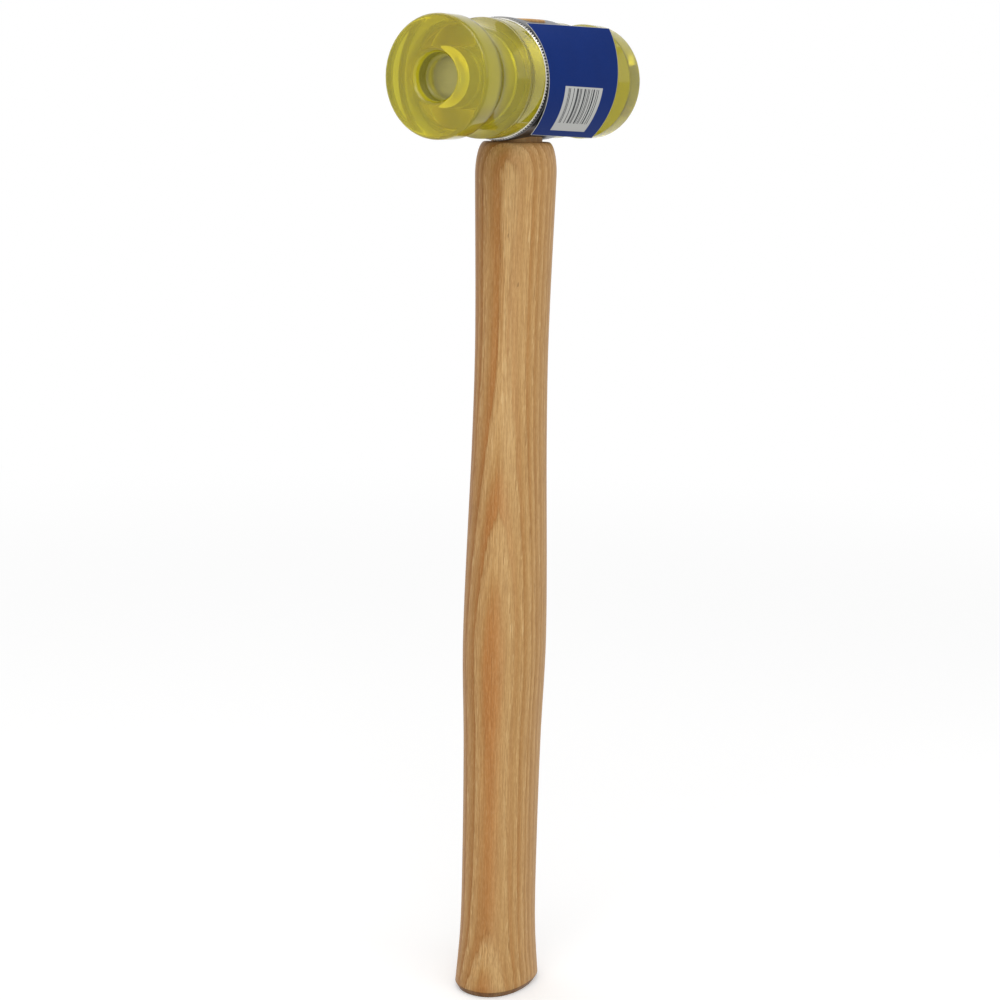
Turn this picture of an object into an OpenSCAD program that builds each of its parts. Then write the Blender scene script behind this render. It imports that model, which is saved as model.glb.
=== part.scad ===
// Double-faced soft mallet: an oval wooden handle wedged into a steel barrel,
// with a see-through amber face screwed onto each end of the barrel.
// The butt of the handle stands at the origin, +Z runs up the handle and X runs along the head.

/* [Handle] */
// Height of the handle's shoulder above the butt
handle_len = 306; // [280:1:400]
// Exponent of the oval section: 2 is an ellipse, higher is squarer
oval_power = 2.2; // [2:0.1:3]
// Height of the bevel round the butt
butt_bevel = 2; // [0.5:0.1:4]
// How far the bevel cuts in at the butt
butt_cut = 1.2; // [0.4:0.1:2.5]
// Butt, size along the head
butt_depth = 36; // [30:0.2:44]
// Butt, size across the head
butt_width = 26.8; // [24:0.2:36]
// Height where the flare of the butt begins
flare_h = 22; // [14:1:32]
// Start of the flare, size along the head
flare_depth = 31.8; // [26:0.2:40]
// Start of the flare, size across the head
flare_width = 24.4; // [20:0.2:34]
// Height of the waist
waist_h = 52; // [40:1:70]
// Waist, size along the head
waist_depth = 31.2; // [26:0.2:38]
// Waist, size across the head
waist_width = 24; // [20:0.2:32]
// Height of the lower grip
grip_h = 92; // [80:1:108]
// Lower grip, size along the head
grip_depth = 32.2; // [26:0.2:40]
// Lower grip, size across the head
grip_width = 24.6; // [20:0.2:34]
// Height of the swell
swell_h = 132; // [118:1:165]
// Swell, size along the head
swell_depth = 34.4; // [28:0.2:42]
// Swell, size across the head
swell_width = 26.4; // [22:0.2:36]
// Height where the neck begins
neck_start_h = 205; // [180:1:225]
// Start of the neck, size along the head
neck_start_depth = 29.2; // [24:0.2:36]
// Start of the neck, size across the head
neck_start_width = 23.8; // [19:0.2:32]
// Height of the slimmest part of the neck
neck_h = 240; // [230:1:262]
// Neck, size along the head
neck_depth = 28.4; // [24:0.2:36]
// Neck, size across the head
neck_width = 23.4; // [19:0.2:32]
// Shoulder, size along the head
shoulder_depth = 30.6; // [27:0.2:38]
// Shoulder, size across the head
shoulder_width = 25.8; // [22:0.2:34]
// Height over which the shoulder rounds in
shoulder_round_h = 11; // [6:0.5:14]
// How far the shoulder rounds in on each side
shoulder_round_in = 3; // [1:0.2:3.4]

/* [Barrel] */
// How far the barrel stands proud of the faces
barrel_proud = 0.4; // [0.3:0.1:2]
// Width of the barrel along the head
barrel_w = 29; // [27:0.5:50]
// Bevel at the rims of the barrel
barrel_bevel = 0.8; // [0.3:0.1:1.5]
// Gap between the shoulder and the underside of the barrel
seat_gap = 0.4; // [0.2:0.1:2]
// Eye for the handle, length along the head
eye_len = 20; // [18:0.5:21]
// Eye for the handle, width across the head
eye_width = 15; // [12:0.5:16]
// Fit of the tenon in the eye, each side
eye_fit = 0.03; // [0.02:0.01:0.1]
// Depth of the tenon's end below the crown of the barrel
tenon_sink = 0.4; // [0:0.1:2]

/* [Faces] */
// Diameter of the amber faces
face_d = 40; // [33:0.5:60]
// Length of one face from barrel to striking surface
face_len = 36; // [34:0.5:50]
// Radius of the rounded rim
rim_round = 1.4; // [0.8:0.1:4]
// How far the collar at the barrel is smaller than the face, each side
collar_inset = 0.2; // [0:0.1:1]
// Length of the collar
collar_len = 9.5; // [6:0.5:12]
// Width of the hollow waist
groove_w = 18; // [12:0.5:19]
// Depth of the hollow waist
groove_depth = 4; // [2:0.2:5]
// Diameter of the round recess in the striking surface
recess_d = 15.6; // [10:0.2:18]
// Depth of the recess
recess_depth = 6.5; // [4:0.1:7]
// Round at the mouth of the recess
recess_mouth = 2; // [0.5:0.1:3]
// Round at the floor of the recess
recess_floor = 1.2; // [0.4:0.1:2]

/* [Thread bush] */
// Diameter of the bush moulded into each face
bush_d = 20; // [18.8:0.2:22]
// Amber between the end of the bush and the floor of the recess
floor_web = 2; // [1:0.1:4]
// Depth of the two keying grooves round the bush
key_depth = 1; // [0.4:0.1:1.4]
// Width of a keying groove
key_w = 3; // [2:0.5:5]
// Distance of the first keying groove from the barrel
key_start = 6; // [2:0.5:8]
// Distance from one keying groove to the next
key_step = 10; // [6:0.5:12]
// Skin between the bush and the amber round it
bond_gap = 0.05; // [0.02:0.01:0.1]

/* [Screw thread] */
// Diameter of the threaded spigot
thread_d = 14; // [10:0.5:15]
// Length of the threaded spigot
thread_len = 14; // [10:0.5:16]
// Radial clearance of the thread
thread_fit = 0.05; // [0.02:0.01:0.1]
// Bevel at the end of the spigot
thread_bevel = 1; // [0.5:0.1:2]
// Spare depth of the threaded hole past the spigot
thread_spare = 3; // [1:0.5:5]

/* [Wedges] */
// Thickness of the timber wedge at the top
timber_top = 3.2; // [2:0.1:4]
// Thickness of the timber wedge at its tip
timber_tip = 0.8; // [0.4:0.1:1.5]
// Depth of the timber wedge
timber_depth = 26; // [18:1:32]
// Thickness of a steel wedge at the top
steel_top = 2; // [1.2:0.1:3]
// Thickness of a steel wedge at its tip
steel_tip = 0.6; // [0.4:0.1:1]
// Depth of a steel wedge
steel_depth = 14; // [8:1:16]
// Width of a steel wedge
steel_w = 10; // [7:0.5:11]
// Distance between the two steel wedges
steel_spacing = 9; // [6:0.5:11]

/* [Label] */
// Bare rim of the barrel beside the left edge of the label
label_margin = 1; // [0.8:0.1:6]
// How far the right edge of the label stands out past the barrel
label_over = 18; // [0:0.5:20]
// How far the label springs flatter than the barrel: the difference of their radii
label_spring = 8.6; // [2:0.2:14]
// Height of the label above the middle of the head, as a share of the barrel's radius
label_up = 0.89; // [0.5:0.01:0.95]
// Depth of the label below the middle of the head, as a share of the barrel's radius
label_down = 0.95; // [0.5:0.01:0.98]
// Gap of glue between the label and the front of the barrel
label_glue = 0.02; // [0.01:0.01:0.1]
// Thickness of the label
label_t = 0.2; // [0.1:0.05:0.4]

/* [Hidden] */
$fn = 96;
slack = 1;
oval_sides = 40;
ring_step = 8;
round_rings = 5;
face_r = face_d / 2;
barrel_r = face_r + barrel_proud;
bush_r = bush_d / 2;
recess_r = recess_d / 2;
thread_r = thread_d / 2;
head_z = handle_len + seat_gap + barrel_r;
tenon_top = head_z + barrel_r - tenon_sink;
round_start = handle_len - shoulder_round_h;
thread_hole = thread_len + thread_spare;
bush_len = face_len - recess_depth - floor_web;
label_left = barrel_w / 2 - label_margin;
label_right = barrel_w / 2 + label_over;
label_bend = barrel_r + label_spring;
label_up_angle = asin(label_up * barrel_r / label_bend);
label_down_angle = asin(label_down * barrel_r / label_bend);
groove_mid = collar_len + groove_w / 2;
groove_r = (pow(groove_w / 2, 2) + pow(groove_depth, 2)) / (2 * groove_depth);
wood = [0.75, 0.58, 0.38];
steel = [0.45, 0.45, 0.46];
amber = [0.72, 0.66, 0.22];
blue = [0.1, 0.22, 0.5];

// Each station is a height and the two sizes of the oval there
stations = [
    [0, butt_depth, butt_width],
    [flare_h, flare_depth, flare_width],
    [waist_h, waist_depth, waist_width],
    [grip_h, grip_depth, grip_width],
    [swell_h, swell_depth, swell_width],
    [neck_start_h, neck_start_depth, neck_start_width],
    [neck_h, neck_depth, neck_width],
    [round_start, shoulder_depth, shoulder_width]
];
last_station = len(stations) - 1;

// A smooth curve runs through the stations: slope at a station from its two neighbours
function slope(i) =
    let (a = stations[max(i - 1, 0)], b = stations[min(i + 1, last_station)])
    (b - a) / (b[0] - a[0]);
function span_of(z) = min(last_station - 1, len([for (s = stations) if (s[0] <= z) 1]) - 1);
function along(i, t, h) =
    (2 * t * t * t - 3 * t * t + 1) * stations[i]
    + (t * t * t - 2 * t * t + t) * h * slope(i)
    + (3 * t * t - 2 * t * t * t) * stations[i + 1]
    + (t * t * t - t * t) * h * slope(i + 1);
function handle_size(z) =
    let (i = span_of(z), h = stations[i + 1][0] - stations[i][0])
    along(i, (z - stations[i][0]) / h, h);

// The section pulls in at the bevel of the butt and at the round of the shoulder
function butt_inset(z) = butt_cut * max(0, 1 - z / butt_bevel);
function shoulder_inset(z) =
    let (t = max(0, (z - round_start) / shoulder_round_h))
    shoulder_round_in * (1 - sqrt(max(0, 1 - t * t)));
function section(z) =
    let (size = handle_size(min(z, round_start)), inset = butt_inset(z) + shoulder_inset(z))
    [size[1] / 2 - inset, size[2] / 2 - inset];
function power_of(v) = sign(v) * pow(abs(v), 2 / oval_power);
function oval(z) =
    let (half = section(z))
    [for (k = [0 : oval_sides - 1])
        let (a = 360 * k / oval_sides)
        [half[0] * power_of(cos(a)), half[1] * power_of(sin(a)), z]];

body_rings = ceil((round_start - butt_bevel) / ring_step);
heights = concat(
    [0],
    [for (i = [0 : body_rings]) butt_bevel + (round_start - butt_bevel) * i / body_rings],
    [for (i = [1 : round_rings]) round_start + shoulder_round_h * sin(90 * i / round_rings)]
);

module handle_shaft() {
    rings = len(heights);
    n = oval_sides;
    points = [for (z = heights) each oval(z)];
    sides = [for (r = [0 : rings - 2], k = [0 : n - 1])
        let (a = r * n + k, b = r * n + (k + 1) % n)
        each [[a, a + n, b], [b, a + n, b + n]]];
    bottom = [for (k = [0 : n - 1]) k];
    top = [for (k = [n - 1 : -1 : 0]) (rings - 1) * n + k];
    polyhedron(points = points, faces = concat(sides, [bottom, top]), convexity = 4);
}

// A slot with round ends, centred, long along X
module slot_shape(length, width) {
    straight = length - width;
    square([straight, width], center = true);
    for (side = [-1, 1])
        translate([side * straight / 2, 0])
            circle(d = width);
}

// A wedge standing point down: thick along Y, wide along X, its top at the tenon's end
module wedge_shape(top, tip, depth, width) {
    translate([0, 0, tenon_top])
        rotate([90, 0, 90])
            linear_extrude(width, center = true)
                polygon([[-top / 2, 0], [top / 2, 0], [tip / 2, -depth], [-tip / 2, -depth]]);
}

module timber_wedge_blank() {
    wedge_shape(timber_top, timber_tip, timber_depth, eye_len);
}

module steel_wedge_blank(side) {
    translate([side * steel_spacing / 2, 0, 0])
        rotate([0, 0, 90])
            wedge_shape(steel_top, steel_tip, steel_depth, steel_w);
}

module tenon_shape() {
    slot_shape(eye_len - 2 * eye_fit, eye_width - 2 * eye_fit);
}

module handle() {
    color(wood)
        difference() {
            union() {
                handle_shaft();
                translate([0, 0, round_start])
                    linear_extrude(tenon_top - round_start)
                        tenon_shape();
            }
            timber_wedge_blank();
            for (side = [-1, 1])
                steel_wedge_blank(side);
        }
}

module timber_wedge() {
    color(wood)
        difference() {
            intersection() {
                timber_wedge_blank();
                translate([0, 0, round_start])
                    linear_extrude(tenon_top - round_start)
                        tenon_shape();
            }
            for (side = [-1, 1])
                steel_wedge_blank(side);
        }
}

module left_steel_wedge() {
    color(steel)
        steel_wedge_blank(-1);
}

module right_steel_wedge() {
    color(steel)
        steel_wedge_blank(1);
}

// A turned piece: the outline has its radius along X and its length along Y, which becomes +X of the head
module turned() {
    translate([0, 0, head_z])
        rotate([0, 90, 0])
            rotate_extrude()
                children();
}

// One half of the barrel's outline, from the middle of the head to the end of the spigot
function barrel_half() =
    let (half = barrel_w / 2, tip = barrel_w / 2 + thread_len)
    [
        [barrel_r, half - barrel_bevel],
        [barrel_r - barrel_bevel, half],
        [thread_r, half],
        [thread_r, tip - thread_bevel],
        [thread_r - thread_bevel, tip],
        [0, tip]
    ];

module barrel_outline() {
    half = barrel_half();
    other_half = [for (i = [len(half) - 1 : -1 : 0]) [half[i][0], -half[i][1]]];
    polygon(concat(half, other_half));
}

module head_barrel() {
    color(steel)
        difference() {
            turned()
                barrel_outline();
            translate([0, 0, head_z - barrel_r - slack])
                linear_extrude(2 * (barrel_r + slack))
                    slot_shape(eye_len, eye_width);
        }
}

// Outline of the bush, grown by a skin so that the amber can be cut to fit it
module bush_outline(skin) {
    difference() {
        square([bush_r + skin, bush_len + skin]);
        for (i = [0, 1])
            translate([bush_r - key_depth + skin, key_start + i * key_step + skin])
                square([key_depth + slack, key_w - 2 * skin]);
    }
}

module bush() {
    color(steel)
        turned()
            translate([0, barrel_w / 2])
                difference() {
                    bush_outline(0);
                    square([thread_r + thread_fit, thread_hole]);
                }
}

module recess_outline() {
    floor_y = face_len - recess_depth;
    translate([0, floor_y])
        square([recess_r - recess_floor, recess_depth + slack]);
    translate([0, floor_y + recess_floor])
        square([recess_r, recess_depth - recess_floor + slack]);
    translate([recess_r - recess_floor, floor_y + recess_floor])
        circle(recess_floor);
    translate([0, face_len - recess_mouth])
        difference() {
            square([recess_r + recess_mouth, recess_mouth + slack]);
            translate([recess_r + recess_mouth, 0])
                circle(recess_mouth);
        }
}

module face_outline() {
    difference() {
        union() {
            square([face_r - collar_inset, groove_mid]);
            translate([0, groove_mid])
                square([face_r, face_len - rim_round - groove_mid]);
            square([face_r - rim_round, face_len]);
            translate([face_r - rim_round, face_len - rim_round])
                circle(rim_round);
        }
        translate([face_r - groove_depth + groove_r, groove_mid])
            circle(groove_r);
        recess_outline();
        translate([0, -slack])
            square([bush_r + bond_gap, 2 * slack]);
        bush_outline(bond_gap);
    }
}

module face() {
    color(amber)
        turned()
            translate([0, barrel_w / 2])
                face_outline();
}

module right_face() {
    face();
}

module left_face() {
    mirror([1, 0, 0])
        face();
}

module right_thread_bush() {
    bush();
}

module left_thread_bush() {
    mirror([1, 0, 0])
        bush();
}

// The label is a stiff card: it touches the front of the barrel, springs off it above and below,
// and its right end stands out over the right face
module head_label() {
    color(blue)
        translate([-label_left, label_spring - label_glue, head_z])
            rotate([0, 90, 0])
                rotate([0, 0, -90 - label_up_angle])
                    rotate_extrude(angle = label_up_angle + label_down_angle)
                        translate([label_bend, 0])
                            square([label_t, label_left + label_right]);
}

handle();
head_barrel();
left_face();
right_face();
left_thread_bush();
right_thread_bush();
timber_wedge();
left_steel_wedge();
right_steel_wedge();
head_label();
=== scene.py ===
import math

import bmesh
import bpy
from bpy.props import FloatProperty, FloatVectorProperty, IntProperty, PointerProperty
from mathutils import Matrix, Vector


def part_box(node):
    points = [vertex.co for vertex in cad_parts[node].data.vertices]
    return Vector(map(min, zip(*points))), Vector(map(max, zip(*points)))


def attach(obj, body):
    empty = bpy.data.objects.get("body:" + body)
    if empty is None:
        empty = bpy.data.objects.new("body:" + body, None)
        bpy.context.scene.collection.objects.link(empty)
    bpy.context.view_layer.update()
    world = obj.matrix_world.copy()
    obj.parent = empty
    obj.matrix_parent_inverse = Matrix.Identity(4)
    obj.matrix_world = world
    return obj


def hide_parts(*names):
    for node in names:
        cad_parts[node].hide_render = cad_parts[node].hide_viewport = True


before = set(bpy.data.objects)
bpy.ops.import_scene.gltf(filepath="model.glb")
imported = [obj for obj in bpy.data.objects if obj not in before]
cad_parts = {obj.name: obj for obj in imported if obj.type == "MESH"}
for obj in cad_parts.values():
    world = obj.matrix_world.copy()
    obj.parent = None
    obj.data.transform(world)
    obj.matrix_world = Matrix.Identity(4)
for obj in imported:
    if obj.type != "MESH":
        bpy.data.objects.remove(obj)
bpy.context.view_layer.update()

bl_info = {
    "name": "Soft-faced mallet",
    "version": (1, 0, 0),
    "blender": (4, 5, 0),
    "location": "View3D > Sidebar > Mallet",
    "description": "Builds the looks of a double-faced soft mallet on its CAD frame",
    "category": "Add Mesh",
}

MM = 0.001

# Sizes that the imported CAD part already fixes, in metres
BARREL_LOW, BARREL_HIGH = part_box("head_barrel")
FACE_LOW, FACE_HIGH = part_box("right_face")
BUSH_LOW, BUSH_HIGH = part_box("right_thread_bush")
LABEL_LOW, LABEL_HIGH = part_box("head_label")
HEAD_Z = (BARREL_LOW.z + BARREL_HIGH.z) / 2
BARREL_R = (BARREL_HIGH.z - BARREL_LOW.z) / 2
BARREL_END = FACE_LOW.x
SPIGOT_END = BARREL_HIGH.x
FACE_R = (FACE_HIGH.z - FACE_LOW.z) / 2
FACE_LEN = FACE_HIGH.x - FACE_LOW.x
BUSH_R = (BUSH_HIGH.z - BUSH_LOW.z) / 2
BUSH_LEN = BUSH_HIGH.x - BUSH_LOW.x
TENON_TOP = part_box("handle")[1].z


def srgb(red, green, blue):
    """A colour as picked on a screen, in the linear values that Blender keeps."""
    def linear(value):
        value /= 255
        return value / 12.92 if value <= 0.04045 else ((value + 0.055) / 1.055) ** 2.4
    return tuple(linear(value) for value in (red, green, blue))


def length(name, description, default):
    """A property for a length."""
    return FloatProperty(name=name, description=description, default=default, unit="LENGTH", precision=5)


def number(name, description, default):
    """A property for a plain number."""
    return FloatProperty(name=name, description=description, default=default, precision=4)


def angle(name, description, degrees):
    """A property for an angle."""
    return FloatProperty(name=name, description=description, default=math.radians(degrees), subtype="ANGLE")


def colour(name, description, default):
    """A property for a colour."""
    return FloatVectorProperty(name=name, description=description, default=default, size=3,
                               min=0, max=1, subtype="COLOR")


def count(name, description, default, least):
    """A property for a number of things."""
    return IntProperty(name=name, description=description, default=default, min=least)


class MalletHandleLook(bpy.types.PropertyGroup):
    """Shape and grain of the wooden handle"""
    oval_power: number("Oval power", "Exponent of the oval section", 2.2)
    butt_bevel: length("Butt bevel", "Height of the worn bevel round the butt", 2 * MM)
    butt_inset: length("Butt inset", "How far the bevel cuts in at the butt", 1.2 * MM)
    shoulder_height: length("Shoulder height", "Height over which the shoulder rounds in", 11 * MM)
    shoulder_inset: length("Shoulder inset", "How far the shoulder rounds in", 3 * MM)
    tenon_length: length("Tenon length", "Tenon along the head", 19.94 * MM)
    tenon_width: length("Tenon width", "Tenon across the head", 14.94 * MM)
    sides: count("Sides", "Points round the oval", 96, 24)
    rings: count("Rings", "Rings up the shaft", 130, 20)
    year_width: length("Year width", "Width of one growth ring", 2.4 * MM)
    year_start: length("Year start", "Depth at which a ring begins", 12.52 * MM)
    year_drift: number("Year drift", "Good and bad years per metre, on the wide sides", 190)
    year_lean: number("Year lean", "Lean of the rings against the handle", 0.0155)
    year_turn: angle("Year turn", "Turn of the rings from the narrow side to the front", 28)
    pith: length("Pith distance", "Distance of the heart of the tree", 60 * MM)
    pale: colour("Early wood", "Pale wood at the start of a ring", srgb(214, 171, 113))
    body: colour("Wood", "Wood in the middle of a ring", srgb(192, 147, 89))
    late: colour("Late wood", "Deeper wood towards the end of a ring", srgb(178, 127, 71))
    line: colour("Ring line", "Thin dark line between rings", srgb(138, 92, 47))
    flush: colour("Warm flush", "Orange flames in the late wood", srgb(194, 122, 60))
    # Partly heartwood tint and partly painted shade of the handle's darker side
    heart: colour("Heart side", "Warmer wood towards the heart of the tree", srgb(152, 94, 46))
    fleck: colour("Fleck", "Pale filled pores of the early wood", srgb(230, 197, 142))
    # Dark brown of the end-grain pores, the specks and the darker bevel at the butt
    dark_brown: colour("Burnished edge", "Darkened bevel at the butt", srgb(84, 52, 30))


class MalletFaceLook(bpy.types.PropertyGroup):
    """Shape and colour of the amber faces and their bushes"""
    rim_round: length("Rim round", "Round at the striking edge", 1.4 * MM)
    lip_round: length("Lip round", "Round at the lips of the hollow waist", 0.5 * MM)
    collar_inset: length("Collar inset", "How far the collar is smaller than the face", 0.2 * MM)
    collar_length: length("Collar length", "Length of the collar", 9.5 * MM)
    waist_width: length("Waist width", "Width of the hollow waist", 18 * MM)
    waist_depth: length("Waist depth", "Depth of the hollow waist", 4 * MM)
    recess_radius: length("Recess radius", "Radius of the round recess", 7.8 * MM)
    recess_depth: length("Recess depth", "Depth of the round recess", 6.5 * MM)
    recess_mouth: length("Recess mouth", "Round at the mouth of the recess", 2 * MM)
    recess_floor: length("Recess floor", "Round at the floor of the recess", 1.2 * MM)
    seat: length("Seat", "Gap between collar and barrel", 0.05 * MM)
    bond: length("Bond", "How far the amber reaches into the bush", 0.03 * MM)
    key_depth: length("Key depth", "Depth of the keying grooves", 1 * MM)
    key_width: length("Key width", "Width of a keying groove", 3 * MM)
    key_start: length("Key start", "Distance of the first keying groove", 6 * MM)
    key_step: length("Key step", "Distance between keying grooves", 10 * MM)
    bore_radius: length("Bore radius", "Radius of the threaded hole", 7.05 * MM)
    bore_depth: length("Bore depth", "Depth of the threaded hole", 17 * MM)
    clear: number("Clearness", "How much of the elastomer is see-through", 0.80)
    amber: colour("Amber", "Body colour of the elastomer", (1.0, 0.93, 0.06))
    amber_deep: colour("Deep amber", "Body colour where the elastomer is streaked", (1.0, 0.84, 0.04))
    # Painted shade: the sides of the amber are given a duller colour than the face
    painted_flank_shade: colour("Flank amber", "Duller amber of the waist and the rims", (0.80, 0.73, 0.03))
    # Painted shade: the collar beside the barrel is given a deeper amber
    collar: colour("Collar amber", "Deeper amber of the collar beside the barrel", (0.50, 0.45, 0.02))
    # Painted shade: the slope of the waist up to the front disc is given a deep amber
    shoulder: colour("Shoulder amber", "Deep amber of the slope up to the front disc", (0.22, 0.19, 0.008))
    # Painted shade: the recess wall below its mouth is given a dark colour
    painted_recess_shade: colour("Recess wall", "Dark skin of the recess below its mouth", (0.20, 0.19, 0.065))
    web: colour("Recess floor", "Thin amber over the grey end of the bush", (0.54, 0.50, 0.16))
    absorb: colour("Absorption", "Colour that the elastomer lets through", (0.96, 0.90, 0.02))
    density: number("Density", "Strength of the absorption per metre", 30)
    bush: colour("Bush steel", "Turned steel of the bushes", srgb(236, 235, 229))
    sides: count("Sides", "Points round a turned piece", 128, 32)


class MalletBarrelLook(bpy.types.PropertyGroup):
    """Shape and finish of the steel barrel, its rims and its threads"""
    rim_width: length("Rim width", "Width of the serrated rims", 1.6 * MM)
    rim_drop: length("Rim drop", "Depth of the land under the serration", 0.45 * MM)
    eye_length: length("Eye length", "Eye along the head", 20 * MM)
    eye_width: length("Eye width", "Eye across the head", 15 * MM)
    sides: count("Sides", "Points round the barrel", 160, 32)
    eye_sides: count("Eye sides", "Points round the eye", 96, 24)
    teeth: count("Teeth", "Teeth round one rim", 120, 12)
    tooth_width: length("Tooth width", "Width of a tooth round the rim", 0.7 * MM)
    tooth_length: length("Tooth length", "Length of a tooth along the head", 0.9 * MM)
    tooth_height: length("Tooth height", "Height of a tooth above the land", 0.4 * MM)
    core_radius: length("Core radius", "Radius of a spigot below its thread", 6.05 * MM)
    ridge: length("Ridge", "Half height of the thread's ridge", 0.85 * MM)
    pitch: length("Pitch", "Advance of the thread in one turn", 2 * MM)
    steel: colour("Barrel steel", "Dark turned steel", srgb(112, 113, 116))
    faced: colour("Faced ends", "Bright ends of the barrel under the faces", srgb(240, 239, 235))
    bright: colour("Bright steel", "Bare steel of the teeth and threads", srgb(176, 174, 168))
    wedge_wood: colour("Wedge timber", "End grain of the timber wedge", srgb(140, 97, 58))


class MalletLabelLook(bpy.types.PropertyGroup):
    """Size and print of the label on the head"""
    reach_up: length("Reach up", "Height of the label above the middle of the head", 18.2 * MM)
    reach_down: length("Reach down", "Depth of the label below the middle of the head", 19.4 * MM)
    left_lift: length("Left lift", "How much higher the lower left corner sits", 1.4 * MM)
    bend_left: length("Left bend", "Radius that the label springs to at its left edge", 24.5 * MM)
    bend_right: length("Right bend", "Radius that the label springs to at its free right edge", 30 * MM)
    twist_left: length("Left twist", "Height of the foremost line of the label at its left edge", -1.2 * MM)
    twist_right: length("Right twist", "Height of the foremost line of the label at its right edge", 2.8 * MM)
    thickness: length("Thickness", "Thickness of the label", 0.18 * MM)
    panel_left: length("Panel left", "Left edge of the white panel", -2.9 * MM)
    panel_right: length("Panel right", "Right edge of the white panel", 22.6 * MM)
    panel_low: length("Panel low", "Lower edge of the white panel", -17.4 * MM)
    panel_high: length("Panel high", "Upper edge of the white panel", -2.4 * MM)
    bar_step: length("Bar step", "Width of the narrowest printed bar", 0.42 * MM)
    bar_seed: count("Bar seed", "Start of the random row of bars", 11, 0)
    margin_left: length("Left margin", "White left of the bars", 2 * MM)
    margin_right: length("Right margin", "White right of the bars", 1.2 * MM)
    margin_low: length("Lower margin", "White below the bars", 2.6 * MM)
    margin_high: length("Upper margin", "White above the bars", 0.6 * MM)
    ink: colour("Ink", "Blue of the label", srgb(6, 42, 112))
    paper: colour("Paper", "Bare paper of the panel and the edges", srgb(196, 197, 194))
    bar: colour("Bar", "Ink of the plain bars", srgb(38, 40, 46))


class MalletStageLook(bpy.types.PropertyGroup):
    """Camera, floor and lights"""
    azimuth: angle("Azimuth", "Direction of the camera round the mallet", -57.99)
    elevation: angle("Elevation", "Height of the camera's view", 11.04)
    roll: angle("Roll", "Roll of the camera", 1.39)
    distance: length("Distance", "Distance of the camera from its target", 736.64 * MM)
    target: length("Target height", "Height that the camera looks at", 180.93 * MM)
    lens: number("Lens", "Focal length in millimetres", 74.958)
    sensor: number("Sensor", "Width of the camera's sensor in millimetres", 36)
    shift: number("Shift", "Sideways shift of the picture", -0.00807)
    ambient: number("Ambient", "Light from all round on the mallet", 0.55)
    floor_glow: number("Floor glow", "What the camera sees added to the floor", 0.3)
    floor: colour("Floor", "Pale floor", (0.82, 0.82, 0.82))
    floor_radius: length("Floor radius", "Radius of the floor", 12)
    floor_drop: length("Floor drop", "How far the floor lies below the butt", 0.2 * MM)
    fade_start: length("Fade start", "Distance at which the floor begins to fade to white", 0.30)
    fade_end: length("Fade end", "Distance at which the floor is white", 1.1)


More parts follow.
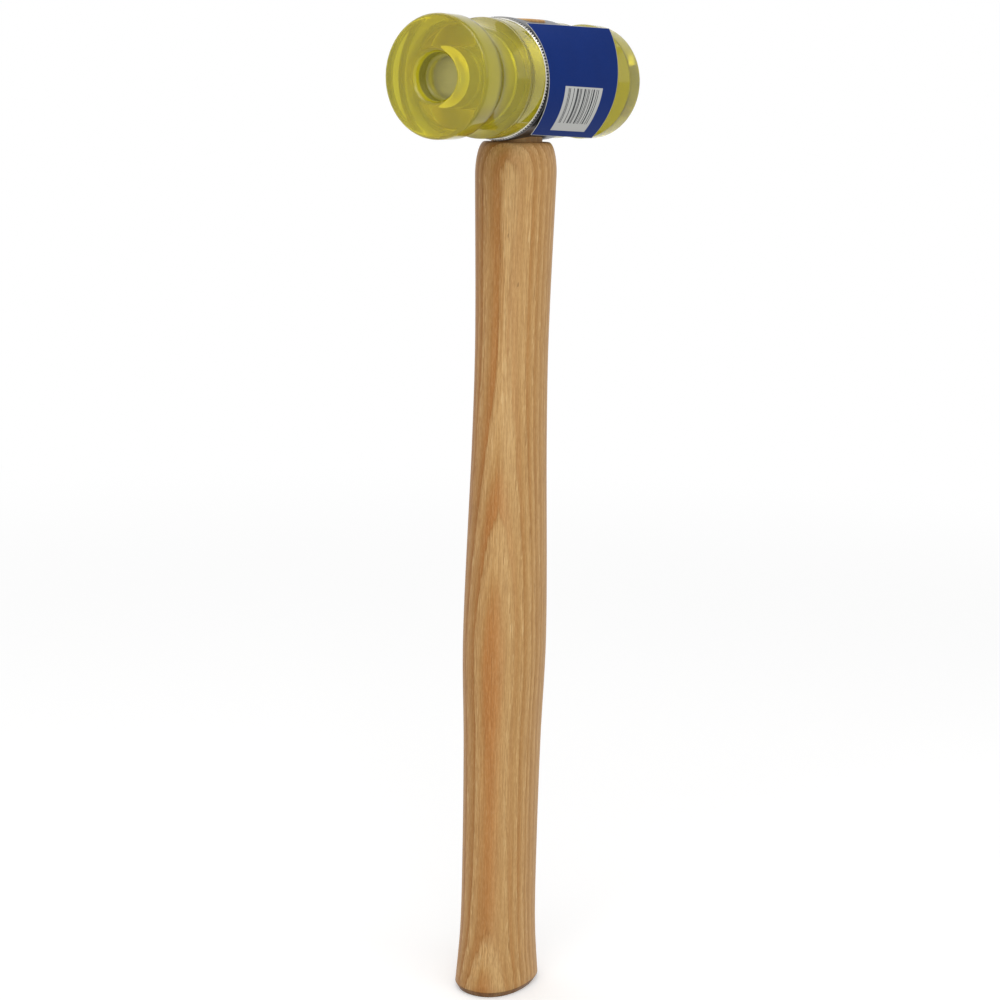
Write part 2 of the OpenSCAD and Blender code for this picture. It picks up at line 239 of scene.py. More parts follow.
class Wire:
    """An output of a node tree. Arithmetic on wires adds the nodes for it."""

    def __init__(self, tree, socket=None):
        self.tree, self.socket = tree, socket

    def node(self, kind, settings=None, sockets=None, output=0):
        """Add any node: its settings first, then its sockets' values or links. Gives one output."""
        made = self.tree.nodes.new(kind)
        for key, value in (settings or {}).items():
            if key == "stops":
                self.fill_ramp(made.color_ramp, value)
            else:
                setattr(made, key, value)
        for key, value in (sockets or {}).items():
            self.feed(made.inputs[key], value)
        return Wire(self.tree, made.outputs[output] if len(made.outputs) else None)

    def feed(self, socket, value):
        """Link a wire to a socket, or set the socket to a value."""
        if isinstance(value, Wire):
            self.tree.links.new(value.socket, socket)
        elif socket.type == "RGBA" and len(value) == 3:
            socket.default_value = (*value, 1)
        else:
            socket.default_value = value

    @staticmethod
    def fill_ramp(ramp, stops):
        """Give a colour ramp its (place, colour) stops."""
        while len(ramp.elements) < len(stops):
            ramp.elements.new(1)
        for element, (place, shade) in zip(ramp.elements, stops):
            element.position = place
            element.color = (*shade, 1)

    def math(self, operation, *others):
        """One step of arithmetic that starts from this value."""
        return self.node("ShaderNodeMath", {"operation": operation}, dict(enumerate((self, *others))))

    def __add__(self, other):
        return self.math("ADD", other)

    def __sub__(self, other):
        return self.math("SUBTRACT", other)

    def __rsub__(self, other):
        return self.node("ShaderNodeMath", {"operation": "SUBTRACT"}, {0: other, 1: self})

    def __mul__(self, other):
        return self.math("MULTIPLY", other)

    def __truediv__(self, other):
        return self.math("DIVIDE", other)

    def __rtruediv__(self, other):
        return self.node("ShaderNodeMath", {"operation": "DIVIDE"}, {0: other, 1: self})

    def __pow__(self, other):
        return self.math("POWER", other)

    __radd__ = __add__
    __rmul__ = __mul__

    def split(self):
        """The three numbers of a vector."""
        parts = self.node("ShaderNodeSeparateXYZ", sockets={0: self}).socket.node.outputs
        return [Wire(self.tree, part) for part in parts]

    def join(self, x, y, z):
        """A vector from three numbers."""
        return self.node("ShaderNodeCombineXYZ", sockets={0: x, 1: y, 2: z})

    def scaled(self, x, y, z):
        """A vector stretched along each axis."""
        return self.node("ShaderNodeVectorMath", {"operation": "MULTIPLY"}, {0: self, 1: (x, y, z)})

    def cloud(self, detail, roughness=0.5):
        """Noise with one feature per unit, read at this vector."""
        return self.node("ShaderNodeTexNoise", sockets={
            "Vector": self, "Scale": 1.0, "Detail": detail, "Roughness": roughness})

    def noise(self, x, y, z, detail, roughness=0.5):
        """Noise with so many features per metre along each axis, read at this place."""
        return self.scaled(x, y, z).cloud(detail, roughness)

    def random(self):
        """A random number for each whole value."""
        return self.node("ShaderNodeTexWhiteNoise", {"noise_dimensions": "1D"}, {"W": self})

    def ease(self, low, high, bottom=0.0, top=1.0):
        """A smooth step from bottom to top as this goes from low to high."""
        return self.node("ShaderNodeMapRange", {"interpolation_type": "SMOOTHSTEP"},
                         {0: self, 1: low, 2: high, 3: bottom, 4: top})

    def between(self, low, high, soft):
        """1 inside a span of values and 0 outside it, with soft ends."""
        return self.ease(low - soft, low + soft) * self.ease(high - soft, high + soft, 1.0, 0.0)

    def mix(self, first, second):
        """A colour that goes from first to second by this factor."""
        return self.node("ShaderNodeMix", {"data_type": "RGBA"}, {0: self, 6: first, 7: second}, output=2)

    def ramp(self, *stops):
        """A colour ramp read at this value."""
        return self.node("ShaderNodeValToRGB", {"stops": stops}, {0: self})

    def bump(self, strength, distance):
        """The normal of a bump with this height."""
        return self.node("ShaderNodeBump", sockets={
            "Strength": strength, "Distance": distance, "Height": self}, output="Normal")


def new_material(name, constants):
    """A material with a Principled shader and constant sockets, and a wire of its object coordinates."""
    material = bpy.data.materials.new(name)
    material.use_nodes = True
    place = Wire(material.node_tree).node("ShaderNodeTexCoord", output="Object")
    finish(place, constants)
    return material, place


def finish(wire, sockets):
    """Set or link sockets of the tree's Principled shader."""
    shader = wire.tree.nodes["Principled BSDF"]
    for key, value in sockets.items():
        wire.feed(shader.inputs[key], value)


def along_and_round(place):
    """Distance along the head's axis and distance from it."""
    x, y, z = place.split()
    z = z - HEAD_Z
    return x, (y * y + z * z) ** 0.5


def handle_wood(look):
    """Lacquered ring-porous wood: rings cut flat on one narrow side and on edge on the wide sides."""
    material, place = new_material("handle_wood", {"Specular IOR Level": 0.14, "Coat Roughness": 0.25})
    x, y, z = place.split()
    cos, sin = math.cos(look.year_turn), math.sin(look.year_turn)
    out = look.pith - x * cos - y * sin
    across = x * sin - y * cos
    sway = place.noise(26, 26, 6, 2) - 0.5
    fibre = place.noise(700, 700, 12, 3, 0.65)
    hair = place.noise(2100, 2100, 110, 2, 0.6)
    thread = place.noise(3600, 3600, 34, 2)

    # Growth rings by depth below the bark side, with good and bad years on the wide sides
    depth = (out * out + across * across) ** 0.5 - look.pith - z * look.year_lean
    depth = depth + sway * (0.5 * MM) + (fibre - 0.5) * (1.2 * MM)
    flat = across.math("ABSOLUTE").ease(5 * MM, 11 * MM, 1.0, 0.0)
    drift = depth.node("ShaderNodeTexNoise", {"noise_dimensions": "1D"}, {
        "W": depth * look.year_drift, "Scale": 1.0, "Detail": 1.0})
    depth = depth + (drift - 0.5) * (1 - flat) * look.year_width
    ring = (depth - look.year_start) / look.year_width
    year = ring.math("FLOOR")
    part = ring - year
    tone = year.random()

    # Colour through one ring, from early to late wood, with orange flames in the late wood
    broad = part.ramp((0.0, look.late), (0.10, look.pale), (0.34, look.pale),
                      (0.58, look.body), (0.84, look.late), (0.96, look.late), (1.0, look.line))
    narrow = part.ramp((0.0, look.body), (0.08, look.pale), (0.42, look.pale),
                       (0.74, look.body), (0.94, look.late), (1.0, look.line))
    grain = flat.mix(narrow, broad)
    early = part.ease(0.0, 0.10) * part.ease(0.24, 0.48, 1.0, 0.0)
    flame = part.ease(0.46, 0.86) * place.noise(60, 60, 9, 2).ease(0.30, 0.58) * (flat * 0.45 + 0.1)
    neck_fade = z.ease(190 * MM, 260 * MM, 1.0, 0.5)
    shade = (flame * neck_fade).mix(grain, look.flush)

    # Warmer and darker towards the heart side, partly heartwood tint and partly painted shade of that side;
    # flushed along the grip and calmer on the front
    # Partly painted shade: the heart side is darker and warmer, more so towards the top
    heart_tint_and_shade = across.ease(-13 * MM, -3 * MM, 0.38, 0.0) * z.ease(110 * MM, 200 * MM, 1.0, 1.4)
    shade = heart_tint_and_shade.mix(shade, look.heart)
    sapwood = across.between(-1.5 * MM, 5 * MM, 2.5 * MM)
    shade = (sapwood * 0.42).mix(shade, look.fleck)
    grip = z.ease(14 * MM, 40 * MM) * z.ease(110 * MM, 170 * MM, 1.0, 0.0)
    glow = across.between(-6 * MM, 0.5 * MM, 2.5 * MM) * grip
    shade = (glow * (fibre * 0.4 + 0.3)).mix(shade, look.flush)
    calm = across.ease(-2.5 * MM, 4.5 * MM)
    shade = (0.06 + calm * 0.36 + tone * 0.3).mix(shade, look.body)

    # Fibres, dust, filled pores, open pits and a few dark specks
    streak = place.noise(1300, 1300, 8, 2).ease(0.50, 0.74)
    shade = (streak * 0.2).mix(shade, look.line)
    dark_hair = hair.ease(0.38, 0.52, 0.24, 0.0) * (early * 0.5 + 0.6 - calm * 0.2)
    shade = dark_hair.mix(shade, look.line)
    pale_hair = hair.ease(0.54, 0.68, 0.0, 0.26) * (early * 0.6 + 0.5 - calm * 0.2)
    shade = pale_hair.mix(shade, look.fleck)
    dust = place.noise(2600, 2600, 520, 1)
    shade = dust.ease(0.36, 0.50, 0.12, 0.0).mix(shade, look.line)
    shade = dust.ease(0.52, 0.66, 0.0, 0.10).mix(shade, look.fleck)
    fleck = place.noise(1700, 1700, 170, 1).ease(0.60, 0.68) * early
    shade = (fleck * 0.5).mix(shade, look.fleck)
    pit = place.noise(1500, 1500, 120, 1).ease(0.63, 0.72) * (early * 0.7 + 0.25)
    shade = (pit * 0.4).mix(shade, look.line)
    speck = place.noise(430, 430, 170, 1).ease(0.79, 0.82)
    shade = (speck * 0.45).mix(shade, look.dark_brown)
    shade = thread.ease(0.36, 0.62, 0.2, 0.0).mix(shade, look.line)

    # End grain, and a darker bevel at the butt
    upright = place.node("ShaderNodeTexCoord", output="Normal").split()[2]
    end = upright.math("ABSOLUTE").ease(0.75, 0.95)
    pores = place.noise(1700, 1700, 200, 1).ease(0.55, 0.70)
    cross = (pores * 0.5).mix(part.ramp((0.0, look.line), (0.3, look.late), (1.0, look.body)), look.dark_brown)
    shade = (end * 0.8).mix(shade, cross)
    # Darker over the bevel at the butt
    bevel_dark = z.ease(look.butt_bevel * 0.98, look.butt_bevel * 1.2, 1.0, 0.0) * (fibre * 0.5 + 0.45)
    shade = bevel_dark.mix(shade, look.dark_brown)
    finish(place, {
        "Base Color": shade,
        "Roughness": 0.46 + (fibre - 0.5) * 0.2 + pit * 0.2,
        "Coat Weight": 0.05 - pit * 0.04,
        "Normal": (fibre * 0.4 + thread * 0.3 - pit * 0.6).bump(0.2, 0.1 * MM),
    })
    return material


def amber_elastomer(look):
    """See-through amber with faint mould streaks, a slightly scuffed skin and painted shade on its flanks,
    collar, waist slope and recess wall.
    """
    material, place = new_material("amber_elastomer", {
        "Transmission Weight": look.clear, "IOR": 1.49, "Specular IOR Level": 0.35})
    along, out = along_and_round(place)
    along = along.math("ABSOLUTE")
    streak = place.noise(70, 45, 45, 3)
    scuff = place.noise(900, 900, 900, 3, 0.6).ease(0.56, 0.72)
    swirl = place.join(along * 500, out * 900, 0.0).cloud(2)

    # Zones from the striking face back to the barrel, and those of the recess, with painted shade on the
    # flanks, collar, waist slope and recess wall
    tip = BARREL_END + FACE_LEN
    floor = (out.ease(0.6 * look.recess_radius, look.recess_radius, 1.0, 0.0)
             * along.ease(tip - look.recess_depth, tip - 0.4 * look.recess_depth, 1.0, 0.0))
    body = streak.ease(0.40, 0.68).mix(look.amber, look.amber_deep)
    # Painted shade: all but the striking face take the duller flank amber, for shade in the amber's sides
    front = along.ease(tip - 0.6 * look.rim_round, tip - 0.1 * look.rim_round)
    body = front.mix(look.painted_flank_shade, body)
    waist_start = BARREL_END + look.collar_length
    waist_end = waist_start + look.waist_width
    # Painted shade: the collar beside the barrel darkens to the collar amber
    collar = along.ease(waist_start - 1 * MM, waist_start + 2 * MM, 1.0, 0.0)
    body = collar.mix(body, look.collar)
    # Painted shade: a deep band on the waist's slope up to the front disc
    slope = (along.ease(waist_end - 0.8 * look.waist_width, waist_end - 0.25 * look.waist_width)
             * along.ease(waist_end - 0.5 * MM, waist_end + 2 * MM, 1.0, 0.0)
             * out.ease(BUSH_R, BUSH_R + 1 * MM))
    body = slope.mix(body, look.shoulder)
    # Painted shade: the recess wall below its mouth darkens
    wall = (out.ease(look.recess_radius + 0.1 * MM, look.recess_radius + 0.3 * MM, 1.0, 0.0)
            * along.ease(tip - 1.4 * look.recess_mouth, tip - 0.9 * look.recess_mouth, 1.0, 0.0))
    body = wall.mix(body, look.painted_recess_shade)
    finish(place, {
        "Base Color": floor.mix(body, look.web),
        "Roughness": 0.06 + scuff * 0.10 + (swirl - 0.5) * 0.04,
        "Normal": (streak * 0.6 + scuff * 0.08).bump(0.12, 0.4 * MM),
    })
    volume = place.node("ShaderNodeVolumeAbsorption", sockets={
        "Color": look.absorb, "Density": look.density})
    output = place.tree.nodes["Material Output"]
    place.tree.links.new(volume.socket, output.inputs["Volume"])
    return material


def turned_steel(name, shade, rough, stain, faced=None):
    """Steel from the lathe: fine tool rings, dull patches and, where given, bright faced ends."""
    material, place = new_material(name, {"Metallic": 1.0})
    along, out = along_and_round(place)
    rings = place.join(along * 3800, out * 3800, 0.0).cloud(3, 0.6)
    patch = place.noise(70, 70, 70, 3).ease(0.40, 0.75)
    grit = place.noise(2400, 2400, 2400, 2)
    dark = tuple(value * stain for value in shade)
    tint = (patch * 0.3 + (rings - 0.5) * 0.5 + 0.1).mix(shade, dark)
    if faced:
        cut = along.math("ABSOLUTE").ease(BARREL_END - 0.2 * MM, BARREL_END - 0.05 * MM)
        tint = (cut * (1 - patch * 0.3)).mix(tint, faced)
    finish(place, {
        "Base Color": tint,
        "Roughness": rough + patch * 0.08 + (rings - 0.5) * 0.25,
        "Normal": (rings + grit * 0.4).bump(0.25, 0.05 * MM),
    })
    return material


def wedge_timber(look):
    """Bare hardwood, seen on its end: close rings and open pores."""
    material, place = new_material("wedge_timber", {"IOR": 1.45})
    y = place.split()[1]
    wave = place.noise(120, 260, 60, 2)
    lines = (y * 1500 + wave * 5).math("SINE") * 0.5 + 0.5
    pores = place.noise(2600, 2600, 300, 2).ease(0.54, 0.68)
    deep = tuple(value * 0.55 for value in look.wedge_wood)
    shade = (lines * 0.45 + (wave - 0.5) * 0.6).mix(look.wedge_wood, deep)
    finish(place, {
        "Base Color": (pores * 0.6).mix(shade, tuple(value * 0.4 for value in look.wedge_wood)),
        "Roughness": 0.62 + pores * 0.2,
        "Normal": (lines * 0.4 - pores).bump(0.35, 0.1 * MM),
    })
    return material


def wedge_steel(look):
    """Bright cut steel with hammer scuffs."""
    material, place = new_material("wedge_steel", {"Metallic": 1.0})
    brush = place.noise(3400, 260, 3400, 3, 0.6)
    scuff = place.noise(900, 900, 900, 2).ease(0.55, 0.72)
    finish(place, {
        "Base Color": (scuff * 0.35 + (brush - 0.3) * 0.7).mix(look.bright, srgb(112, 110, 106)),
        "Roughness": 0.38 + scuff * 0.12 + (brush - 0.5) * 0.2,
        "Normal": (brush * 0.5 + scuff * 0.4).bump(0.2, 0.05 * MM),
    })
    return material


def label_film(look):
    """Printed label: blue with a white panel of plain bars, bare paper at its edges and back."""
    material, place = new_material("label_film", {"Specular IOR Level": 0.06})
    u, v, _ = place.node("ShaderNodeUVMap", {"uv_map": "print"}).split()
    x = u * (LABEL_HIGH.x - LABEL_LOW.x) + LABEL_LOW.x
    up = v * (look.reach_up + look.reach_down) - look.reach_down
    soft, edge = 0.05 * MM, 0.1 * MM
    printed = (x.between(LABEL_LOW.x + edge, LABEL_HIGH.x - edge, soft)
               * up.between(edge - look.reach_down, look.reach_up - edge, soft))
    panel = (x.between(look.panel_left, look.panel_right, soft)
             * up.between(look.panel_low, look.panel_high, soft))
    bars = (x.between(look.panel_left + look.margin_left, look.panel_right - look.margin_right, soft)
            * up.between(look.panel_low + look.margin_low, look.panel_high - look.margin_high, soft))
    beat = ((x - look.panel_left) / look.bar_step).math("FLOOR") + look.bar_seed
    stripe = beat.random().ease(0.50, 0.56)
    fibre = place.noise(1800, 1800, 1800, 2)
    cloud = place.noise(90, 90, 90, 2)
    ink = (cloud.ease(0.3, 0.7) * 0.4).mix(look.ink, tuple(value * 0.85 for value in look.ink))
    face = panel.mix(ink, look.paper)
    face = (panel * bars * stripe).mix(face, look.bar)
    finish(place, {
        "Base Color": printed.mix(look.paper, face),
        "Roughness": 0.55 + (fibre - 0.5) * 0.2 + panel * 0.08,
        "Normal": (fibre * 0.3 + printed * 0.15).bump(0.15, 0.05 * MM),
    })
    return material


def new_piece(name, mesh, material, body, smooth):
    """Link a finished mesh as a piece that moves with a CAD body, with edges sharp past smooth degrees."""
    mesh.name = name
    if material:
        mesh.materials.clear()
        mesh.materials.append(material)
    mesh.shade_smooth()
    mesh.set_sharp_from_angle(angle=math.radians(smooth))
    piece = bpy.data.objects.new(name, mesh)
    bpy.context.scene.collection.objects.link(piece)
    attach(piece, body)
    return piece


def mesh_from(bm, name):
    """Close a bmesh into a mesh with its faces outwards."""
    bmesh.ops.recalc_face_normals(bm, faces=bm.faces)
    mesh = bpy.data.meshes.new(name)
    bm.to_mesh(mesh)
    bm.free()
    return mesh


def applied(mesh, add_modifiers):
    """The mesh with modifiers worked in."""
    helper = bpy.data.objects.new("helper", mesh)
    bpy.context.scene.collection.objects.link(helper)
    add_modifiers(helper)
    bpy.context.view_layer.update()
    made = bpy.data.meshes.new_from_object(helper.evaluated_get(bpy.context.evaluated_depsgraph_get()))
    helper.modifiers.clear()
    bpy.data.objects.remove(helper)
    return made


def full_turn(sides):
    """Angles of the points round a ring."""
    return [2 * math.pi * k / sides for k in range(sides)]


def skin_loops(bm, loops):
    """Join closed loops of points into a skin and cap its two ends."""
    for low, high in zip(loops, loops[1:]):
        for k in range(len(low)):
            n = (k + 1) % len(low)
            bm.faces.new((low[k], low[n], high[n], high[k]))
    bm.faces.new(loops[0])
    bm.faces.new(loops[-1])


def cut_away(mesh, cutters):
    """The mesh with other meshes cut out of it."""
    tools = []

    def add_cuts(helper):
        for cutter in cutters:
            tool = bpy.data.objects.new("cutter", cutter)
            bpy.context.scene.collection.objects.link(tool)
            tools.append(tool)
            cut = helper.modifiers.new("cut", "BOOLEAN")
            cut.operation, cut.solver, cut.object = "DIFFERENCE", "EXACT", tool

    made = applied(mesh, add_cuts)
    for tool in tools:
        bpy.data.objects.remove(tool)
    return made


def rounded(corners, steps=7):
    """Points of a closed outline. A corner with a third value is rounded to that radius."""
    points = []
    for i, (radius, along, *fillet) in enumerate(corners):
        corner = Vector((radius, along))
        if not fillet:
            points.append(corner)
            continue
        back = (Vector(corners[i - 1][:2]) - corner).normalized()
        ahead = (Vector(corners[(i + 1) % len(corners)][:2]) - corner).normalized()
        half = back.angle(ahead) / 2
        centre = corner + (back + ahead).normalized() * (fillet[0] / math.sin(half))
        first = corner + back * (fillet[0] / math.tan(half)) - centre
        last = corner + ahead * (fillet[0] / math.tan(half)) - centre
        sweep = first.angle_signed(last)
        for step in range(steps + 1):
            turn = -sweep * step / steps
            points.append(centre + Vector((
                first.x * math.cos(turn) - first.y * math.sin(turn),
                first.x * math.sin(turn) + first.y * math.cos(turn))))
    return [tuple(point) for point in points]


def turned_mesh(name, outline, sides, end=1):
    """Turn a closed outline of (radius, distance along the head) points round the head's axis."""
    bm = bmesh.new()
    turns = full_turn(sides)
    on_axis = 1e-7
    rings = []
    for radius, along in outline:
        around = turns if radius > on_axis else [0.0]
        rings.append([bm.verts.new((end * along, radius * math.sin(a), HEAD_Z + radius * math.cos(a)))
                      for a in around])
    for first, second in zip(rings, rings[1:] + rings[:1]):
        if len(first) == len(second) == 1:
            continue
        for k in range(sides):
            n = (k + 1) % sides
            corners = [first[k % len(first)], first[n % len(first)],
                       second[n % len(second)], second[k % len(second)]]
            bm.faces.new(list(dict.fromkeys(corners)))
    return mesh_from(bm, name)


def slot_point(a, long, wide):
    """Where a ray at an angle leaves a slot with round ends."""
    straight, radius = (long - wide) / 2, wide / 2
    c, s = math.cos(a), math.sin(a)
    lengthwise = 1e-9
    if abs(s) > lengthwise and abs(c) / abs(s) * radius <= straight:
        reach = radius / abs(s)
    else:
        reach = straight * abs(c) + math.sqrt(radius ** 2 - (straight * s) ** 2)
    return reach * c, reach * s


def handle_sections():
    """Heights of the CAD handle's rings, to 0.01 mm, and the half sizes of its oval there."""
    rings = {}
    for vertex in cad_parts["handle"].data.vertices:
        x, y, z = vertex.co
        key = round(z, 5)
        wide, deep = rings.get(key, (0.0, 0.0))
        rings[key] = (max(wide, abs(x)), max(deep, abs(y)))
    return rings


def smooth_between(knots, z):
    """A Catmull-Rom curve through (height, half size, half size) knots."""
    i = max(1, min(len(knots) - 2, sum(1 for knot in knots if knot[0] <= z)))
    a, b = knots[i - 1], knots[i]
    before, after = knots[max(i - 2, 0)], knots[min(i + 1, len(knots) - 1)]
    span = b[0] - a[0]
    t = (z - a[0]) / span
    sizes = []
    for axis in (1, 2):
        slope_a = (b[axis] - before[axis]) / (b[0] - before[0]) * span
        slope_b = (after[axis] - a[axis]) / (after[0] - a[0]) * span
        sizes.append((2 * t ** 3 - 3 * t ** 2 + 1) * a[axis] + (t ** 3 - 2 * t ** 2 + t) * slope_a
                     + (3 * t ** 2 - 2 * t ** 3) * b[axis] + (t ** 3 - t ** 2) * slope_b)
    return sizes


def handle_mesh(look):
    """The shaft as one smooth loft through the CAD rings, with its shoulder and tenon."""
    rings = handle_sections()
    past_tenon, past_butt, slack = 0.2 * MM, 0.5 * MM, 0.01 * MM
    shoulder = max(z for z, (wide, _) in rings.items() if wide > look.tenon_length / 2 + past_tenon)
    start = shoulder - look.shoulder_height
    knots = sorted((z, *half) for z, half in rings.items() if past_butt <= z <= start + slack)
    bevel_shares, round_steps = (0, 0.12, 0.5, 0.88, 1), 14
    levels = []
    base = smooth_between(knots, look.butt_bevel)
    for share in bevel_shares:
        inset = look.butt_inset * (1 - share)
        levels.append((look.butt_bevel * share, base[0] - inset, base[1] - inset))
    for i in range(1, look.rings + 1):
        z = look.butt_bevel + (start - look.butt_bevel) * i / look.rings
        levels.append((z, *smooth_between(knots, z)))
    top = levels[-1]
    for i in range(1, round_steps + 1):
        t = math.sin(math.pi / 2 * i / round_steps)
        inset = look.shoulder_inset * (1 - math.sqrt(max(0.0, 1 - t * t)))
        levels.append((start + look.shoulder_height * t, top[1] - inset, top[2] - inset))
    bm = bmesh.new()
    turns = full_turn(look.sides)
    power = 2 / look.oval_power
    loops = []
    for z, wide, deep in levels:
        loops.append([bm.verts.new((math.copysign(wide * abs(math.cos(a)) ** power, math.cos(a)),
                                    math.copysign(deep * abs(math.sin(a)) ** power, math.sin(a)), z))
                      for a in turns])
    chamfer = 0.5 * MM
    for z, shrink in ((shoulder, 0.0), (TENON_TOP - chamfer, 0.0), (TENON_TOP, chamfer)):
        loops.append([bm.verts.new((*slot_point(a, look.tenon_length - 2 * shrink,
                                                look.tenon_width - 2 * shrink), z)) for a in turns])
    skin_loops(bm, loops)
    return mesh_from(bm, "handle")


def wedge_cutter(node, reach):
    """A cutter like a CAD wedge, carried on above its top and reaching past its ends."""
    points = [vertex.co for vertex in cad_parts[node].data.vertices]
    top, tip = max(p.z for p in points), min(p.z for p in points)
    same_level, over = 0.02 * MM, 2 * MM
    sizes = []
    for level in (tip, top):
        there = [p for p in points if abs(p.z - level) < same_level]
        sizes.append([(min(p[axis] for p in there), max(p[axis] for p in there)) for axis in (0, 1)])
    grow = over / (top - tip)
    spread = [tuple(high + (high - low) * grow for low, high in zip(*ends)) for ends in zip(*sizes)]
    bm = bmesh.new()
    loops = []
    for z, ((x0, x1), (y0, y1)) in ((tip, sizes[0]), (top + over, spread)):
        corners = ((x0 - reach, y0), (x1 + reach, y0), (x1 + reach, y1), (x0 - reach, y1))
        loops.append([bm.verts.new((x, y, z)) for x, y in corners])
    skin_loops(bm, loops)
    return mesh_from(bm, "cutter")


def keying_grooves(look, radius, gap):
    """Corners of the two keying grooves at this radius, from the barrel outwards."""
    neck = radius - look.key_depth
    corners = []
    for i in (0, 1):
        low = BARREL_END + look.key_start + i * look.key_step
        high = low + look.key_width
        corners += [(radius, low - gap), (neck, low - gap), (neck, high + gap), (radius, high + gap)]
    return corners


def face_outline(look):
    """Outline of one amber face from the barrel outwards, with the bush's place left open."""
    start = BARREL_END + look.seat
    tip = BARREL_END + FACE_LEN
    collar = FACE_R - look.collar_inset
    waist_start = BARREL_END + look.collar_length
    half = look.waist_width / 2
    sweep_r = (half ** 2 + look.waist_depth ** 2) / (2 * look.waist_depth)
    middle = waist_start + half
    reach = math.asin(half / sweep_r)
    floor = tip - look.recess_depth
    inner, bush_tip = BUSH_R - look.bond, BARREL_END + BUSH_LEN - look.bond
    nick, bead = 0.22 * MM, waist_start - 1.8 * MM
    collar_edge, waist_steps = 0.4 * MM, 24
    corners = [
        (inner, start), (collar, start, collar_edge),
        (collar, bead), (collar - nick, bead + nick),
        (collar - nick, bead + 2 * nick), (collar, bead + 3 * nick),
        (collar, waist_start, look.lip_round)]
    for i in range(1, waist_steps):
        a = -reach + 2 * reach * i / waist_steps
        corners.append((FACE_R - look.waist_depth + sweep_r * (1 - math.cos(a)),
                        middle + sweep_r * math.sin(a)))
    corners += [
        (FACE_R, waist_start + look.waist_width, look.lip_round),
        (FACE_R, tip, look.rim_round),
        (look.recess_radius, tip, look.recess_mouth),
        (look.recess_radius, floor, look.recess_floor),
        (0, floor), (0, bush_tip), (inner, bush_tip)]
    corners += reversed(keying_grooves(look, inner, look.bond))
    return rounded(corners)


def bush_outline(look):
    """Outline of one bush: a blind hole for the spigot and two keying grooves."""
    edge, mouth, drill_point = 0.25 * MM, 0.6 * MM, 2.5 * MM
    start, tip = BARREL_END, BARREL_END + BUSH_LEN
    corners = [(look.bore_radius + mouth, start), (BUSH_R, start, edge)]
    corners += keying_grooves(look, BUSH_R, 0.0)
    corners += [(BUSH_R, tip), (0, tip), (0, start + look.bore_depth + drill_point),
                (look.bore_radius, start + look.bore_depth), (look.bore_radius, start + mouth)]
    return rounded(corners, steps=3)


def barrel_outline(look):
    """Outline of the whole barrel with the cores of its two spigots."""
    land = BARREL_R - look.rim_drop
    step = BARREL_END - look.rim_width
    core = look.core_radius
    middle, slope, step_round = 9 * MM, 0.05 * MM, 0.1 * MM
    rim_edge, foot, tip = 0.25 * MM, 0.6 * MM, 0.9 * MM
    half = [
        (BARREL_R, middle), (BARREL_R, step - slope, step_round), (land, step), (land, BARREL_END, rim_edge),
        (core + foot, BARREL_END), (core, BARREL_END + foot),
        (core, SPIGOT_END - tip), (core - tip, SPIGOT_END), (0, SPIGOT_END)]
    mirrored = [(radius, -along, *fillet) for radius, along, *fillet in reversed(half)]
    return rounded(half + mirrored, steps=3)


def nodes_tree(name, counts, sizes):
    """An empty Geometry Nodes tree with named inputs. Gives the tree and a wire for each input."""
    kinds = {**dict.fromkeys(counts, "NodeSocketInt"), **dict.fromkeys(sizes, "NodeSocketFloat"),
             "Material": "NodeSocketMaterial"}
    tree = bpy.data.node_groups.new(name, "GeometryNodeTree")
    tree.interface.new_socket("Geometry", in_out="OUTPUT", socket_type="NodeSocketGeometry")
    for title, kind in kinds.items():
        tree.interface.new_socket(title, in_out="INPUT", socket_type=kind)
    group = tree.nodes.new("NodeGroupInput")
    return tree, {title: Wire(tree, group.outputs[title]) for title in kinds}


def end_tree(halves, material):
    """Close a tree: both halves joined as real meshes, with their material."""
    both = halves[0].node("GeometryNodeJoinGeometry")
    for half in halves:
        both.feed(both.socket.node.inputs[0], half)
    real = both.node("GeometryNodeRealizeInstances", sockets={"Geometry": both})
    painted = real.node("GeometryNodeSetMaterial", sockets={"Geometry": real, "Material": material})
    painted.node("NodeGroupOutput", sockets={"Geometry": painted})


def grown_mesh(tree, values):
    """The mesh that a Geometry Nodes tree makes with these inputs."""
    def add_tree(helper):
        grow = helper.modifiers.new("grow", "NODES")
        grow.node_group = tree
        for item in tree.interface.items_tree:
            if item.in_out == "INPUT":
                grow[item.identifier] = values[item.name]

    return applied(bpy.data.meshes.new("seed"), add_tree)


def rim_teeth_tree():
    """Teeth round both rims of the barrel: one small frustum, repeated round a circle."""
    tree, given = nodes_tree("rim_teeth", ["Teeth"],
                             ["Radius", "Height", "Width", "Length", "Rim", "Head height"])
    top_corner, base_corner = 0.42, 0.7071
    teeth, radius = given["Teeth"], given["Radius"]
    step = 2 * math.pi / teeth
    turn = teeth.node("GeometryNodeInputIndex") * step
    spot = turn.join(0.0, turn.math("SINE") * radius * -1, turn.math("COSINE") * radius)
    points = teeth.node("GeometryNodePoints", sockets={"Count": teeth, "Position": spot})
    cone = teeth.node("GeometryNodeMeshCone", sockets={
        "Vertices": 4, "Side Segments": 1, "Fill Segments": 1, "Depth": 1.0,
        "Radius Top": top_corner, "Radius Bottom": base_corner})
    square = cone.node("GeometryNodeTransform", sockets={
        "Geometry": cone, "Rotation": (0.0, 0.0, math.pi / 4)})
    shaped = square.node("GeometryNodeTransform", sockets={
        "Geometry": square, "Scale": square.join(given["Length"], given["Width"], given["Height"])})
    lean = turn.node("FunctionNodeEulerToRotation", sockets={0: turn.join(turn, 0.0, 0.0)})
    ring = points.node("GeometryNodeInstanceOnPoints", sockets={
        "Points": points, "Instance": shaped, "Rotation": lean})
    end_tree([ring.node("GeometryNodeTransform", sockets={
        "Geometry": ring, "Translation": ring.join(given["Rim"] * side, 0.0, given["Head height"])})
        for side in (-1, 1)], given["Material"])
    return tree


